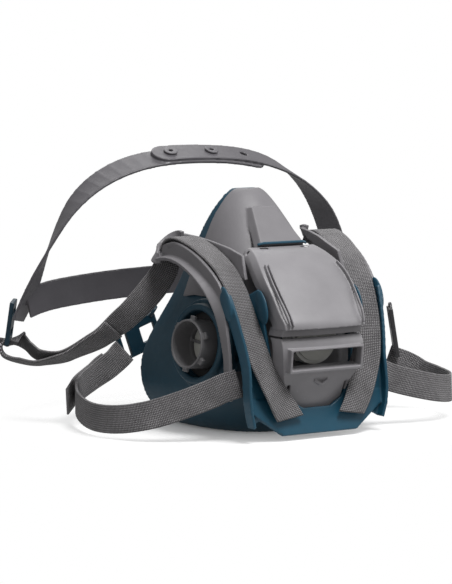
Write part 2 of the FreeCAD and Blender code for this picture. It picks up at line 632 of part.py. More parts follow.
def guide_arm_shape(sheet, side):
    """Saddle that carries the strap over the shoulder, joined to the shell and to the lower bracket."""
    floor = ribbon(side_route(ARM_ROUTE, side), 18.0, 2.4, 12)
    wall = ribbon(side_route(WALL_ROUTE, side), WALL_HEIGHT, 2.0, 12)
    rail = ribbon(side_route(RAIL_ROUTE, side), RAIL_WIDTH, RAIL_THICK, 20)
    end_bar = ribbon(side_route(END_BAR_ROUTE, side), END_BAR_HEIGHT, 2.4, 14)
    shoulder = strip_between(SHOULDER_TOP, SHOULDER_FOOT, (-2.2, 0.6, 0.0), side)
    web = strip_between([(38.0, -16.0, 100.0), (26.0, -6.0, 100.0)], [(38.0, -16.0, 94.0), (27.0, -8.0, 94.0)],
                        (0.0, 3.0, 0.0), side)
    bracket = Part.makeBox(2.0, 7.0, 18.0, Vector(side * 51.2 - 1.0, -52.0, 20.5))
    heel = Part.makeBox(11.0, 3.0, 14.0, Vector(side * 45.6 - 5.5, -47.6, 22.5))
    arm = shape_union([floor, wall, rail, end_bar, shoulder, web, bracket, heel])
    return arm.cut(mask_loft(sheet.shell_gap + sheet.shell_wall, 53.0, 137.0))


def shape_union(shapes):
    return shapes[0].fuse(shapes[1:]).removeSplitter()


def upper_strap_shape(sheet, side):
    """Front run over the yoke and arm, then the back run from the guide to the slider."""
    back = UPPER_BACK_LEFT_ROUTE if side < 0 else UPPER_BACK_RIGHT_ROUTE
    front = side_route(UPPER_FRONT_ROUTE, side)
    runs = [ribbon(route, sheet.strap_width, sheet.strap_thick) for route in (front, back)]
    return Part.makeCompound(runs)


def lower_strap_shape(sheet, side):
    route = LOWER_LEFT_ROUTE if side < 0 else LOWER_RIGHT_ROUTE
    return ribbon(route, sheet.strap_width, sheet.strap_thick)


def crown_point(target_x):
    """Centre and outward direction of the upper crown tail above a given x."""
    frames = route_frames(RIGHT_CROWN_ROUTE, 200)
    centre, across, face = min(frames, key=lambda frame: abs(frame[0].x - target_x))
    outward = face if face.z > 0 else face * -1.0
    return centre, outward


def head_cradle_shape(sheet):
    """One moulded harness: rear band and two crown tails that overlap on top, with holes."""
    band = ribbon(REAR_BAND_ROUTE, sheet.cradle_band, sheet.cradle_thick)
    left = ribbon(LEFT_CROWN_ROUTE, sheet.crown_band, sheet.cradle_thick)
    right = ribbon(RIGHT_CROWN_ROUTE, sheet.crown_band, sheet.cradle_thick)
    shape = band.fuse([left, right])
    for route in (LEFT_CROWN_ROUTE, RIGHT_CROWN_ROUTE):
        centre, across, face = route_frames(route, STRAP_STATIONS)[-1]
        start = centre - face * (sheet.cradle_thick / 2.0)
        shape = shape.fuse(Part.makeCylinder(sheet.crown_band / 2.0, sheet.cradle_thick, start, face))
    holes = [(x, sheet.stud_shank_radius + 0.1) for x in STUD_X] + [(SPARE_HOLE_X, sheet.spare_hole_radius)]
    for target_x, radius in holes:
        centre, outward = crown_point(target_x)
        shape = shape.cut(Part.makeCylinder(radius, 12.0, centre - outward * 6.0, outward))
    return shape


def add_feature(doc, name, shape, place):
    """A feature whose shape comes from this file's own geometry."""
    feature = doc.addObject("Part::Feature", name)
    feature.Label = name
    feature.Shape = shape
    feature.Placement = place.multiply(feature.Placement)
    return feature


def add_body(doc, name, place):
    body = doc.addObject("PartDesign::Body", name)
    body.Label = name
    body.Placement = place
    return body


def add_sketch(body, name, lift=0.0):
    """Sketch on the body's own XY plane, raised by a height."""
    sketch = body.newObject("Sketcher::SketchObject", name)
    plane = [feature for feature in body.Origin.OriginFeatures if feature.Role == "XY_Plane"][0]
    sketch.AttachmentSupport = [(plane, "")]
    sketch.MapMode = "FlatFace"
    sketch.AttachmentOffset = Placement(Vector(0, 0, lift), Rotation())
    return sketch


def sketch_circle(sketch, alias, sheet):
    """Circle about the sketch centre whose radius follows a cell of the sheet."""
    circle = Part.Circle(Vector(0, 0, 0), Vector(0, 0, 1), getattr(sheet, alias))
    index = sketch.addGeometry(circle, False)
    sketch.addConstraint(Sketcher.Constraint("Coincident", index, 3, -1, 1))
    row = sketch.addConstraint(Sketcher.Constraint("Radius", index, getattr(sheet, alias)))
    sketch.setExpression("Constraints[%d]" % row, "%s.%s" % (SHEET_NAME, alias))


def sketch_box(sketch, low, high):
    """Rectangle between two corners."""
    corners = [(low[0], low[1]), (high[0], low[1]), (high[0], high[1]), (low[0], high[1])]
    first = sketch.GeometryCount
    for index in range(4):
        start = Vector(*corners[index], 0)
        end = Vector(*corners[(index + 1) % 4], 0)
        sketch.addGeometry(Part.LineSegment(start, end), False)
    for index in range(4):
        after = first + (index + 1) % 4
        sketch.addConstraint(Sketcher.Constraint("Coincident", first + index, 2, after, 1))


def add_pad(body, sketch, name, length, reversed_side=False):
    """Pad of a sketch; length is a number or the name of a cell."""
    pad = body.newObject("PartDesign::Pad", name)
    pad.Profile = sketch
    if isinstance(length, str):
        pad.setExpression("Length", "%s.%s" % (SHEET_NAME, length))
    else:
        pad.Length = length
    pad.Reversed = reversed_side
    return pad


def add_pattern(doc, body, feature, sketch, name, count):
    """Copies of a feature around the body's local Z axis."""
    doc.recompute()
    pattern = body.newObject("PartDesign::PolarPattern", name)
    pattern.Originals = [feature]
    pattern.Axis = (sketch, ["N_Axis"])
    pattern.Angle = 360
    pattern.Occurrences = count
    body.Tip = pattern
    return pattern


def build_port(doc, sheet, name, place):
    """Filter port: stepped tube, flange, bayonet lugs on the rim and a spoked valve seat inside."""
    body = add_body(doc, name, place)
    ring = add_sketch(body, name + "_tube")
    sketch_circle(ring, "port_tube_radius", sheet)
    sketch_circle(ring, "port_bore_radius", sheet)
    add_pad(body, ring, name + "_tube_pad", "port_tube_length", True)
    step = add_sketch(body, name + "_step", -sheet.port_seat_depth)
    sketch_circle(step, "port_tube_radius", sheet)
    sketch_circle(step, "port_seat_radius", sheet)
    step_pad = add_pad(body, step, name + "_step_pad", "port_tube_length", True)
    step_pad.setExpression("Length", "%s.port_tube_length - %s.port_seat_depth" % (SHEET_NAME, SHEET_NAME))
    flange = add_sketch(body, name + "_flange", -sheet.port_rim_out - 4.4)
    sketch_circle(flange, "port_flange_radius", sheet)
    sketch_circle(flange, "port_bore_radius", sheet)
    add_pad(body, flange, name + "_flange_pad", 1.4, True)
    lug = add_sketch(body, name + "_lug", -1.6)
    half = sheet.lug_width / 2.0
    sketch_box(lug, (sheet.port_bore_radius + 0.4, -half), (sheet.lug_reach, half))
    lug_pad = add_pad(body, lug, name + "_lug_pad", 2.2, True)
    add_pattern(doc, body, lug_pad, lug, name + "_lugs", 6)
    hub = add_sketch(body, name + "_hub", -sheet.port_rim_out - 2.0)
    sketch_circle(hub, "hub_radius", sheet)
    add_pad(body, hub, name + "_hub_pad", 1.6, True)
    spoke = add_sketch(body, name + "_spoke", -sheet.port_rim_out - 2.0)
    half = sheet.spoke_width / 2.0
    sketch_box(spoke, (0.0, -half), (sheet.port_bore_radius + 0.6, half))
    spoke_pad = add_pad(body, spoke, name + "_spoke_pad", 1.6, True)
    add_pattern(doc, body, spoke_pad, spoke, name + "_spokes", 4)
    return body


def build_ring(doc, sheet, name, place, outer, inner, thick):
    """Plain washer between two radii."""
    body = add_body(doc, name, place)
    sketch = add_sketch(body, name + "_outline")
    sketch_circle(sketch, outer, sheet)
    sketch_circle(sketch, inner, sheet)
    add_pad(body, sketch, name + "_pad", thick)
    return body


def build_retaining_ring(doc, sheet, name, place):
    """Ring that clamps the port from inside the mask, with finger notches round its edge."""
    body = build_ring(doc, sheet, name, place, "ring_radius", "port_tube_radius", "ring_thick")
    notch = add_sketch(body, name + "_notch")
    sketch_box(notch, (sheet.ring_radius - 1.2, -1.6), (sheet.ring_radius + 1.0, 1.6))
    doc.recompute()
    pocket = body.newObject("PartDesign::Pocket", name + "_pocket")
    pocket.Profile = notch
    pocket.Type = 1
    pocket.Reversed = True
    add_pattern(doc, body, pocket, notch, name + "_notches", 8)
    return body


def build_disc(doc, sheet, name, place, radius):
    """Thin round flap."""
    disc = doc.addObject("Part::Cylinder", name)
    disc.Label = name
    disc.setExpression("Radius", "%s.%s" % (SHEET_NAME, radius))
    disc.setExpression("Height", "%s.flap_thick" % SHEET_NAME)
    disc.Placement = place
    return disc


def build_valve_seat(doc, sheet, name, place):
    """Tube that carries the exhaust flap, with a spoked cross at its front."""
    body = add_body(doc, name, place)
    ring = add_sketch(body, name + "_tube")
    sketch_circle(ring, "seat_radius", sheet)
    sketch_circle(ring, "seat_bore_radius", sheet)
    add_pad(body, ring, name + "_tube_pad", "seat_length", True)
    hub = add_sketch(body, name + "_hub")
    sketch_circle(hub, "hub_radius", sheet)
    add_pad(body, hub, name + "_hub_pad", 1.6, True)
    spoke = add_sketch(body, name + "_spoke")
    half = sheet.spoke_width / 2.0
    sketch_box(spoke, (0.0, -half), (sheet.seat_bore_radius + 0.8, half))
    spoke_pad = add_pad(body, spoke, name + "_spoke_pad", 1.6, True)
    add_pattern(doc, body, spoke_pad, spoke, name + "_spokes", 5)
    return body


def build_pin(doc, sheet, name, place):
    """Steel rod on the latch hinge axis."""
    pin = doc.addObject("Part::Cylinder", name)
    pin.Label = name
    pin.setExpression("Radius", "%s.pin_radius" % SHEET_NAME)
    pin.setExpression("Height", "%s.pin_length" % SHEET_NAME)
    start = Vector(-sheet.pin_length / 2.0, sheet.hinge_depth, sheet.hinge_height)
    pin.Placement = place.multiply(Placement(start, Rotation(Vector(0, 0, 1), Vector(1, 0, 0))))
    return pin


def build_plate(doc, sheet, name, place, size, slots, thick):
    """Flat plate centred on the body's origin, cut by a list of rectangular slots."""
    body = add_body(doc, name, place)
    outline = add_sketch(body, name + "_outline")
    sketch_box(outline, (-size[0] / 2.0, -size[1] / 2.0), (size[0] / 2.0, size[1] / 2.0))
    add_pad(body, outline, name + "_pad", thick)
    cuts = add_sketch(body, name + "_cuts")
    for low, high in slots:
        sketch_box(cuts, low, high)
    doc.recompute()
    pocket = body.newObject("PartDesign::Pocket", name + "_pocket")
    pocket.Profile = cuts
    pocket.Type = 1
    pocket.Reversed = True
    return body


def plate_place(centre, across, along, thick):
    """Placement with local X across the strap and local Y along the plate's length."""
    across = Vector(*across)
    across.normalize()
    along = Vector(*along)
    along = along - across * along.dot(across)
    along.normalize()
    normal = across.cross(along)
    rotation = Rotation(across, along, normal, "ZXY")
    return Placement(Vector(*centre) - normal * (thick / 2.0), rotation)


def slider_slots(sheet):
    """Two strap slots of a ladder slider."""
    half = sheet.slot_length / 2.0
    slots = []
    for middle in (-6.0, 6.0):
        slots.append(((-half, middle - sheet.slider_slot / 2.0), (half, middle + sheet.slider_slot / 2.0)))
    return slots


def clip_slots(sheet):
    """Strap slot at one end of a neck clip and a hook opening at the other."""
    half = sheet.slot_length / 2.0
    low = -sheet.clip_length / 2.0 + 3.0
    hook_low = sheet.clip_length / 2.0 - 3.0 - sheet.hook_hole
    half_hook = sheet.hook_hole / 2.0
    return [
        ((-half, low), (half, low + sheet.clip_slot)),
        ((-half_hook, hook_low), (half_hook, hook_low + sheet.hook_hole)),
    ]


def build_studs(doc, sheet, name, place):
    """Two hollow snap studs through the overlapped crown tails, as one group."""
    studs = []
    for index, target_x in enumerate(STUD_X):
        centre, outward = crown_point(target_x)
        turn = Rotation(Vector(0, 0, 1), outward)
        stud_parts = []
        for label, alias, low, height in (
            ("head", "stud_head_radius", 0.9, 1.2),
            ("shank", "stud_shank_radius", -3.6, 5.4),
            ("foot", "stud_foot_radius", -4.4, 0.9),
        ):
            cylinder = doc.addObject("Part::Cylinder", "stud_%s_%d" % (label, index + 1))
            cylinder.setExpression("Radius", "%s.%s" % (SHEET_NAME, alias))
            cylinder.Height = height
            cylinder.Placement = place.multiply(Placement(centre + outward * low, turn))
            stud_parts.append(cylinder)
        fuse = doc.addObject("Part::MultiFuse", "stud_fuse_%d" % (index + 1))
        fuse.Shapes = stud_parts
        bore = doc.addObject("Part::Cylinder", "stud_bore_%d" % (index + 1))
        bore.setExpression("Radius", "%s.stud_bore_radius" % SHEET_NAME)
        bore.Height = 8.0
        bore.Placement = place.multiply(Placement(centre - outward * 5.0, turn))
        cut = doc.addObject("Part::Cut", "stud_cut_%d" % (index + 1))
        cut.Base = fuse
        cut.Tool = bore
        studs.append(cut)
    group = doc.addObject("Part::Compound", name)
    group.Label = name
    group.Links = studs
    return group


def check_document(doc, parts):
    """Stops the build if any object failed or any piece is empty or invalid."""
    for item in doc.Objects:
        if "Invalid" in item.State or "Error" in item.State:
            raise RuntimeError("object %s failed: %s" % (item.Label, item.State))
    for part in parts:
        if part.Shape.isNull() or not part.Shape.isValid() or not part.Shape.Solids:
            raise RuntimeError("piece %s has no valid solid" % part.Label)


def build_side(doc, sheet, place, side, word):
    """Every piece that exists once on each side."""
    port = place.multiply(port_place(sheet, side))
    gasket_seat = place.multiply(port_place(sheet, side, -sheet.port_rim_out - 4.2))
    flap_seat = place.multiply(port_place(sheet, side, -sheet.port_rim_out - 3.9 - sheet.flap_thick))
    ring_seat = place.multiply(port_place(sheet, side, -sheet.port_tube_length))
    slider_centre = (side * 123.6, 80.0 if side < 0 else 91.0, 57.5)
    slider_across = (-side * 0.53, 0.85, 0.0)
    slider_along = (-side * 0.17, 0.0, 1.0)
    slider = place.multiply(plate_place(slider_centre, slider_across, slider_along, sheet.slider_thick))
    slider_size = (sheet.slider_width, sheet.slider_length)
    return [
        build_port(doc, sheet, "inhalation_port_" + word, port),
        build_ring(doc, sheet, "port_gasket_" + word, gasket_seat, "port_flange_radius", "port_tube_radius",
                   "gasket_thick"),
        build_retaining_ring(doc, sheet, "port_retaining_ring_" + word, ring_seat),
        build_disc(doc, sheet, "inhalation_flap_" + word, flap_seat, "intake_flap_radius"),
        add_feature(doc, "guide_arm_" + word, guide_arm_shape(sheet, side), place),
        add_feature(doc, "upper_strap_" + word, upper_strap_shape(sheet, side), place),
        add_feature(doc, "lower_strap_" + word, lower_strap_shape(sheet, side), place),
        build_plate(doc, sheet, "cradle_slider_" + word, slider, slider_size, slider_slots(sheet), "slider_thick"),
    ]


def main():
    doc = FreeCAD.newDocument("respirator")
    sheet = make_sheet(doc)
    place = Placement(Vector(0, -sheet.depth_shift, sheet.floor_lift), Rotation())
    facing_front = Rotation(Vector(0, 0, 1), Vector(0, -1, 0))
    seat = place.multiply(Placement(Vector(0, sheet.seat_front, sheet.seat_height), facing_front))
    flap_front = Vector(0, sheet.seat_front - 0.3, sheet.seat_height)
    flap = place.multiply(Placement(flap_front, facing_front))
    clip_size = (sheet.clip_width, sheet.clip_length)
    left_clip = plate_place((-38.0, 77.0, 43.5), (-0.35, 0.0, 1.0), (1.0, 0.0, 0.35), sheet.clip_thick)
    right_clip = plate_place((98.4, -0.6, 46.0), (-0.53, -0.85, 0.0), (-0.12, 0.1, 1.0), sheet.clip_thick)
    parts = [
        add_feature(doc, "face_seal", face_seal_shape(sheet), place),
        add_feature(doc, "front_shell", front_shell_shape(sheet), place),
        add_feature(doc, "latch_cover", latch_cover_shape(sheet), place),
        build_pin(doc, sheet, "latch_hinge_pin", place),
        add_feature(doc, "exhaust_housing", exhaust_housing_shape(sheet), place),
        build_valve_seat(doc, sheet, "exhalation_valve_seat", seat),
        build_disc(doc, sheet, "exhalation_flap", flap, "exhaust_flap_radius"),
        add_feature(doc, "yoke", yoke_shape(sheet), place),
        add_feature(doc, "head_cradle", head_cradle_shape(sheet), place),
        build_studs(doc, sheet, "crown_studs", place),
        build_plate(doc, sheet, "neck_clip_left", place.multiply(left_clip), clip_size, clip_slots(sheet), "clip_thick"),
        build_plate(doc, sheet, "neck_clip_right", place.multiply(right_clip), clip_size, clip_slots(sheet),
                    "clip_thick"),
    ]
    for side, word in ((-1, "left"), (1, "right")):
        parts.extend(build_side(doc, sheet, place, side, word))
    doc.recompute()
    check_document(doc, parts)
    os.makedirs("parts", exist_ok=True)
    whole = FreeCAD.BoundBox()
    for part in parts:
        box = part.Shape.BoundBox
        whole.add(box)
        print(part.Label, len(part.Shape.Solids), round(part.Shape.Volume), [round(v, 1) for v in (
            box.XMin, box.XMax, box.YMin, box.YMax, box.ZMin, box.ZMax)])
        part.Shape.exportStep("parts/%s.step" % part.Label)
    print("whole", whole)


main()
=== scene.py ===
import json
import math

import bmesh
import bpy
from mathutils import Matrix, Vector


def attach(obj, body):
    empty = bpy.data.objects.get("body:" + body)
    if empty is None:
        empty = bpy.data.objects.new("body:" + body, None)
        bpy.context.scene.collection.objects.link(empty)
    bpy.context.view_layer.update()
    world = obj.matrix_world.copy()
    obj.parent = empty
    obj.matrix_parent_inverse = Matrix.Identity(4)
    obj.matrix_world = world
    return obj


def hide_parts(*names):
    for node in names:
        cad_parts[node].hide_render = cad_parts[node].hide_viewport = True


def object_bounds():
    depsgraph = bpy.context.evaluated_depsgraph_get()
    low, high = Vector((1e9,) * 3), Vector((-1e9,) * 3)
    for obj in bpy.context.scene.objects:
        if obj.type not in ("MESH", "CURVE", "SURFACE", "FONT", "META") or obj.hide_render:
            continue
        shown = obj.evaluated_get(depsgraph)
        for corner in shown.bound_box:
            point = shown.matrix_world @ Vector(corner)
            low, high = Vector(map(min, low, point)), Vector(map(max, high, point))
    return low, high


# Half-mask respirator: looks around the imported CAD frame. Millimetre data below is laid out about
# the mask's own centre plane, as the CAD routes are, and place() moves it into the part's frame in metres.

MM = 0.001
MASK_ORIGIN = Vector((0.0, -14.2, 2.5))
SIDES = (-1, 1)
SIDE_WORD = {-1: "left", 1: "right"}

# Knit of the webbing, metres.
WALE_PITCH = 0.00125
COURSE_PITCH = 0.00095
COURSE_SLANT = 0.00045

# Voxel sizes of the moulded pieces, metres.
VOXEL_SOFT = 0.0008
VOXEL_SHELL = 0.0005
VOXEL_FINE = 0.0004
VOXEL_STUD = 0.0003


def place(point):
    """A point of the part's frame in metres, from mask millimetres."""
    return (Vector(point) + MASK_ORIGIN) * MM


def srgb(red, green, blue):
    """Linear colour from 8-bit display values."""
    linear = []
    for value in (red, green, blue):
        share = value / 255.0
        linear.append(share / 12.92 if share <= 0.04045 else ((share + 0.055) / 1.055) ** 2.4)
    return (*linear, 1.0)


# ---------------------------------------------------------------- materials


class Shader:
    """Small helper that adds nodes to one material and links them."""

    def __init__(self, name):
        self.material = bpy.data.materials.new(name)
        self.material.use_nodes = True
        self.tree = self.material.node_tree
        self.surface = self.tree.nodes["Principled BSDF"]

    def node(self, kind, **inputs):
        made = self.tree.nodes.new(kind)
        for key, value in inputs.items():
            socket = made.inputs[key.replace("_", " ")]
            if isinstance(value, bpy.types.NodeSocket):
                self.tree.links.new(value, socket)
            else:
                socket.default_value = value
        return made

    def link(self, source, target):
        self.tree.links.new(source, target)

    def objects_place(self):
        return self.node("ShaderNodeTexCoord").outputs["Object"]

    def noise(self, vector, scale, detail=3.0, roughness=0.55):
        made = self.node("ShaderNodeTexNoise", Vector=vector, Scale=scale, Detail=detail, Roughness=roughness)
        return made.outputs["Fac"]

    def ramp(self, value, low, high, start=0.0, end=1.0):
        """A value moved from the range low..high to start..end, and kept inside it."""
        made = self.node("ShaderNodeMapRange", Value=value)
        made.clamp = True
        made.inputs["From Min"].default_value = low
        made.inputs["From Max"].default_value = high
        made.inputs["To Min"].default_value = start
        made.inputs["To Max"].default_value = end
        return made.outputs["Result"]

    def math(self, operation, first, second):
        made = self.tree.nodes.new("ShaderNodeMath")
        made.operation = operation
        for socket, value in zip(made.inputs, (first, second)):
            if isinstance(value, bpy.types.NodeSocket):
                self.tree.links.new(value, socket)
            else:
                socket.default_value = value
        return made.outputs[0]

    def mix(self, share, first, second):
        made = self.tree.nodes.new("ShaderNodeMix")
        made.data_type = "RGBA"
        for socket, value in ((made.inputs[0], share), (made.inputs[6], first), (made.inputs[7], second)):
            if isinstance(value, bpy.types.NodeSocket):
                self.tree.links.new(value, socket)
            else:
                socket.default_value = value
        return made.outputs[2]

    def bump(self, height, strength, distance):
        made = self.node("ShaderNodeBump", Height=height, Strength=strength, Distance=distance)
        self.link(made.outputs["Normal"], self.surface.inputs["Normal"])

    def colour(self, socket):
        self.link(socket, self.surface.inputs["Base Color"])

    def roughness(self, socket):
        self.link(socket, self.surface.inputs["Roughness"])


def tint(colour, factor):
    return (*(min(1.0, channel * factor) for channel in colour[:3]), 1.0)


def moulded(name, colour, rough, grain=0.25, edge_wear_and_highlight=0.35, specular=0.5):
    """Moulded plastic or rubber: fine spark texture, soft mottling, and paler convex edges that are partly
    wear and partly a painted highlight.
    """
    shade = Shader(name)
    here = shade.objects_place()
    mottle = shade.noise(here, 45.0, 4.0)
    fine = shade.noise(here, 2600.0, 2.0)
    scuff = shade.noise(here, 240.0, 6.0, 0.7)
    body = shade.mix(shade.ramp(mottle, 0.3, 0.7), tint(colour, 0.92), tint(colour, 1.08))
    # Pointiness finds convex edges, which are made paler: partly wear, partly a painted highlight.
    edge = shade.node("ShaderNodeNewGeometry").outputs["Pointiness"]
    worn_and_highlit = shade.math("MULTIPLY", shade.ramp(edge, 0.52, 0.6), shade.ramp(scuff, 0.35, 0.65))
    worn_and_highlit = shade.math("MULTIPLY", worn_and_highlit, edge_wear_and_highlight)
    shade.colour(shade.mix(worn_and_highlit, body, tint(colour, 1.75)))
    shade.roughness(shade.ramp(scuff, 0.25, 0.75, rough - 0.07, rough + 0.09))
    shade.surface.inputs["Specular IOR Level"].default_value = specular
    shade.bump(fine, grain, 0.00006)
    return shade.material


def knitted(name, dark, light):
    """Knitted elastic webbing, from U along and V across the strap, both in metres."""
    shade = Shader(name)
    uv = shade.node("ShaderNodeUVMap")
    uv.uv_map = "strap"
    split = shade.node("ShaderNodeSeparateXYZ", Vector=uv.outputs["UV"])
    along, across = split.outputs["X"], split.outputs["Y"]
    wales = shade.math("SINE", shade.math("MULTIPLY", across, 2.0 * math.pi / WALE_PITCH), 0.0)
    slant = shade.math("MULTIPLY", shade.math("ABSOLUTE", wales, 0.0), COURSE_SLANT)
    courses = shade.math("ADD", along, slant)
    courses = shade.math("SINE", shade.math("MULTIPLY", courses, 2.0 * math.pi / COURSE_PITCH), 0.0)
    loops = shade.math("MULTIPLY", shade.ramp(courses, -0.8, 0.9), shade.ramp(wales, -1.0, 0.6, 0.35, 1.0))
    fuzz = shade.noise(uv.outputs["UV"], 1500.0, 3.0, 0.7)
    patch = shade.noise(uv.outputs["UV"], 90.0, 4.0, 0.6)
    thread = shade.math("MULTIPLY", loops, shade.ramp(fuzz, 0.3, 0.7, 0.45, 1.0))
    tone = shade.mix(thread, dark, light)
    shade.colour(shade.mix(shade.ramp(patch, 0.35, 0.7, 0.0, 0.35), tone, tint(dark, 1.2)))
    shade.roughness(shade.ramp(fuzz, 0.2, 0.8, 0.75, 0.95))
    shade.surface.inputs["Specular IOR Level"].default_value = 0.2
    shade.surface.inputs["Sheen Weight"].default_value = 0.25
    shade.surface.inputs["Sheen Roughness"].default_value = 0.5
    height = shade.math("ADD", shade.math("MULTIPLY", loops, 0.8), shade.math("MULTIPLY", fuzz, 0.4))
    shade.bump(height, 1.0, 0.0005)
    return shade.material


def pale_floor():
    """White paper that fades out round the object, so that no edge of it shows."""
    shade = Shader("floor_paper")
    here = shade.objects_place()
    reach = shade.tree.nodes.new("ShaderNodeVectorMath")
    reach.operation = "LENGTH"
    shade.link(here, reach.inputs[0])
    fade = shade.ramp(reach.outputs["Value"], FLOOR_SOLID, FLOOR_CLEAR, 1.0, 0.0)
    shade.link(fade, shade.surface.inputs["Alpha"])
    shade.colour(shade.mix(shade.noise(here, 3.0), srgb(250, 250, 250), srgb(255, 255, 255)))
    shade.surface.inputs["Roughness"].default_value = 0.9
    shade.surface.inputs["Specular IOR Level"].default_value = 0.1
    return shade.material


def metal(name, colour):
    shade = Shader(name)
    here = shade.objects_place()
    scratch = shade.noise(here, 900.0, 5.0, 0.7)
    shade.colour(shade.mix(shade.ramp(scratch, 0.3, 0.7), tint(colour, 0.85), colour))
    shade.surface.inputs["Metallic"].default_value = 1.0
    shade.roughness(shade.ramp(scratch, 0.3, 0.7, 0.25, 0.42))
    shade.bump(scratch, 0.2, 0.00003)
    return shade.material


# ---------------------------------------------------------------- mesh helpers


def new_object(name, mesh):
    made = bpy.data.objects.new(name, mesh)
    bpy.context.scene.collection.objects.link(made)
    return made


def finish_mesh(piece, material):
    piece.data.materials.clear()
    piece.data.materials.append(material)
    for face in piece.data.polygons:
        face.use_smooth = True


def apply_modifiers(piece):
    """The mesh as its modifiers make it."""
    bpy.context.view_layer.update()
    graph = bpy.context.evaluated_depsgraph_get()
    mesh = bpy.data.meshes.new_from_object(piece.evaluated_get(graph))
    piece.modifiers.clear()
    piece.data = mesh
    return piece


def join_into(mesh, extras):
    """Copies extra meshes into mesh, where they overlap it, ready for a voxel union."""
    work = bmesh.new()
    work.from_mesh(mesh)
    for extra in extras:
        work.from_mesh(extra)
        bpy.data.meshes.remove(extra)
    work.to_mesh(mesh)
    work.free()


def mould(node, voxel, smoothing, material, body="mask", extras=()):
    """A CAD node's shape with the rounded edges and fillets of a moulded part, in its place."""
    piece = new_object(node + "_moulded", frame["nodes"][node].data.copy())
    join_into(piece.data, extras)
    remesh = piece.modifiers.new("union", "REMESH")
    remesh.mode = "VOXEL"
    remesh.voxel_size = voxel * 1.0
    smooth = piece.modifiers.new("fillets", "SMOOTH")
    smooth.factor = 0.5
    smooth.iterations = smoothing
    apply_modifiers(piece)
    finish_mesh(piece, material)
    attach(piece, body)
    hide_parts(node)
    return piece


def ring_mesh(centre, axis, major, minor, squash=1.0, turns=96, round_steps=16):
    """A closed bead around an axis."""
    turn = Vector((0, 0, 1)).rotation_difference(axis).to_matrix()
    work = bmesh.new()
    rings = []
    for step in range(turns):
        angle = 2.0 * math.pi * step / turns
        ring = []
        for part in range(round_steps):
            swing = 2.0 * math.pi * part / round_steps
            radius = major + minor * math.cos(swing)
            rise = minor * squash * math.sin(swing)
            local = Vector((radius * math.cos(angle), radius * math.sin(angle), rise))
            ring.append(work.verts.new(turn @ local + centre))
        rings.append(ring)
    for step in range(turns):
        here, after = rings[step], rings[(step + 1) % turns]
        for part in range(round_steps):
            nearby = (part + 1) % round_steps
            work.faces.new((here[part], after[part], after[nearby], here[nearby]))
    mesh = bpy.data.meshes.new("ring")
    work.to_mesh(mesh)
    work.free()
    return mesh


def spline_points(points, count):
    """Evenly spaced points along a smooth line through the given ones, with the span and share of each."""
    lengths = [0.0]
    for before, after in zip(points, points[1:]):
        lengths.append(lengths[-1] + max((after - before).length ** 0.5, 1e-6))
    tangents = []
    for index in range(len(points)):
        low, high = max(index - 1, 0), min(index + 1, len(points) - 1)
        tangents.append((points[high] - points[low]) / (lengths[high] - lengths[low]))
    fine = []
    steps = 24
    for span in range(len(points) - 1):
        width = lengths[span + 1] - lengths[span]
        for step in range(steps + (span == len(points) - 2)):
            share = step / steps
            square, cube = share * share, share ** 3
            leaving = width * (cube - 2 * square + share)
            arriving = width * (cube - square)
            where = points[span] * (2 * cube - 3 * square + 1) + tangents[span] * leaving
            where += points[span + 1] * (3 * square - 2 * cube) + tangents[span + 1] * arriving
            fine.append((where, span, share))
    run = [0.0]
    for before, after in zip(fine, fine[1:]):
        run.append(run[-1] + (after[0] - before[0]).length)
    even, cursor = [], 0
    for step in range(count + 1):
        target = run[-1] * step / count
        while cursor < len(run) - 2 and run[cursor + 1] < target:
            cursor += 1
        share = (target - run[cursor]) / max(run[cursor + 1] - run[cursor], 1e-9)
        where = fine[cursor][0].lerp(fine[cursor + 1][0], share)
        place_along = fine[cursor][1] + fine[cursor][2]
        next_along = fine[cursor + 1][1] + fine[cursor + 1][2]
        even.append((where, place_along + (next_along - place_along) * share))
    return even, run[-1]


def band_section(width, thick, rounding, steps=10):
    """Cross-section of a flat band with rounded long edges: (across, up) pairs and how far across each is."""
    half, deep = width / 2.0, thick / 2.0
    points = []
    for step in range(steps + 1):
        points.append((-half + rounding + (width - 2 * rounding) * step / steps, deep))
    for angle in (60, 20, -20, -60):
        turn = math.radians(angle)
        points.append((half - rounding + rounding * math.cos(turn), deep * math.sin(turn)))
    for step in range(steps + 1):
        points.append((half - rounding - (width - 2 * rounding) * step / steps, -deep))
    for angle in (240, 200, 160, 120):
        turn = math.radians(angle)
        points.append((-half + rounding + rounding * math.cos(turn), deep * math.sin(turn)))
    return points


